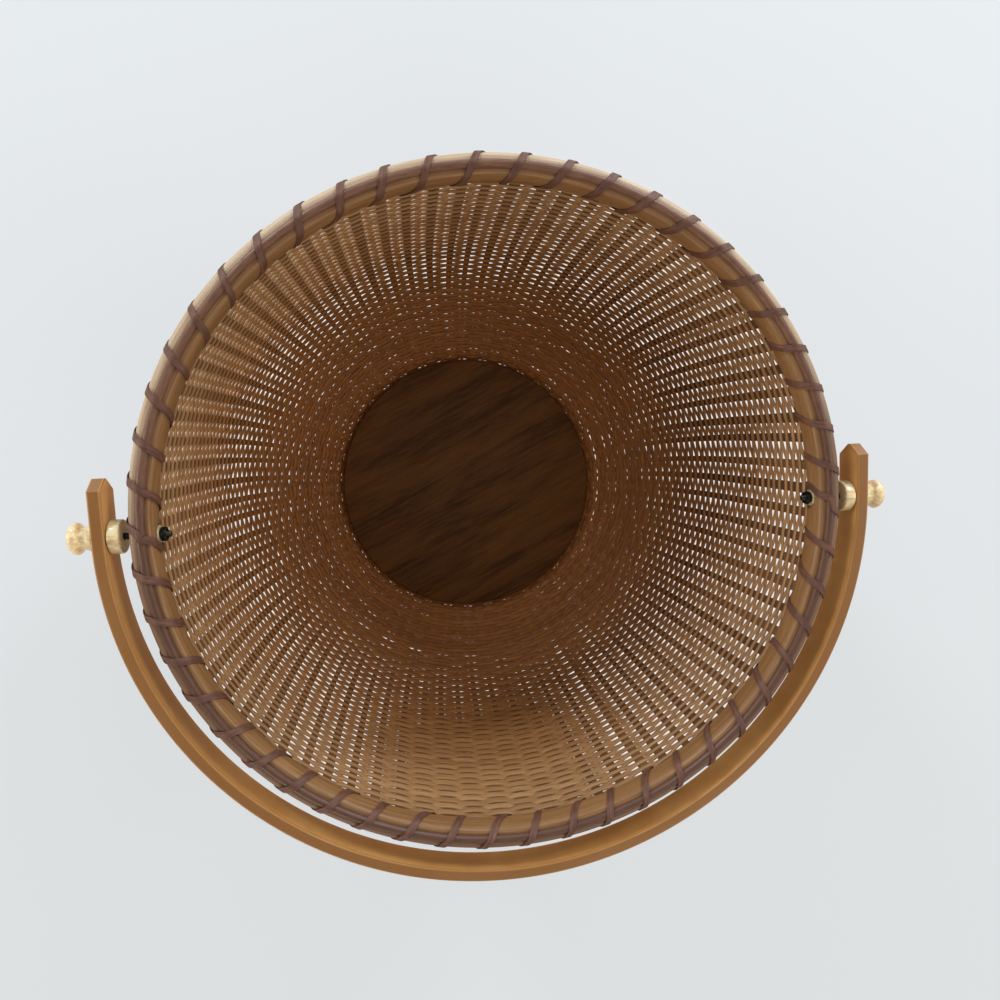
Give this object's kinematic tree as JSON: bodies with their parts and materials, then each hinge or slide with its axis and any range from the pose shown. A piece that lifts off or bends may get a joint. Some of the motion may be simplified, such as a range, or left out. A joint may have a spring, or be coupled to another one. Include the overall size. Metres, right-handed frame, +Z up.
{
  "type": "nantucket basket",
  "caption": "Round open woven cane basket on a turned wooden base, with a lashed hoop rim and a bent swing handle pivoted on bone knobs.",
  "frame": {"origin": "centre of the wooden base's flat underside", "axes": "+Z up through the open mouth, +X through the right-hand handle pivot, -Y towards the side on which the handle is laid over at rest"},
  "size_m": [0.313, 0.2773, 0.1657],
  "materials": {
    "walnut": "dark stained wood with a dull wax sheen",
    "woven_cane": "natural cane and thin oak staves, honey brown, satin shellac",
    "rattan_hoop": "split rattan with lengthwise grain, satin",
    "cap_cane": "aged greyish brown cane bark, satin",
    "lashing_cane": "dark purplish brown split cane, satin",
    "bent_ash": "bent wood with long straight grain, orange brown, satin varnish",
    "bone": "polished cream bone",
    "steel": "darkened steel, dull"
  },
  "bodies": {
    "basket": {"base_disc": "walnut", "woven_wall": "woven_cane", "inner_hoop": "rattan_hoop", "outer_hoop": "rattan_hoop", "rim_cap": "cap_cane", "rim_lashing": "lashing_cane", "pivot_bolt_right": "steel", "pivot_bolt_left": "steel", "pivot_washer_right": "steel", "pivot_washer_left": "steel", "pivot_nut_right": "steel", "pivot_nut_left": "steel", "bone_spacer_right": "bone", "bone_spacer_left": "bone", "bone_knob_right": "bone", "bone_knob_left": "bone"},
    "handle": {"swing_handle": "bent_ash"}
  },
  "joints": [
    {"name": "handle_swing", "type": "hinge", "parent": "basket", "child": "handle", "pos_m": [0, 0, 0.1555], "axis": [-1, 0, 0], "range_deg": [-24, 204]}
  ]
}
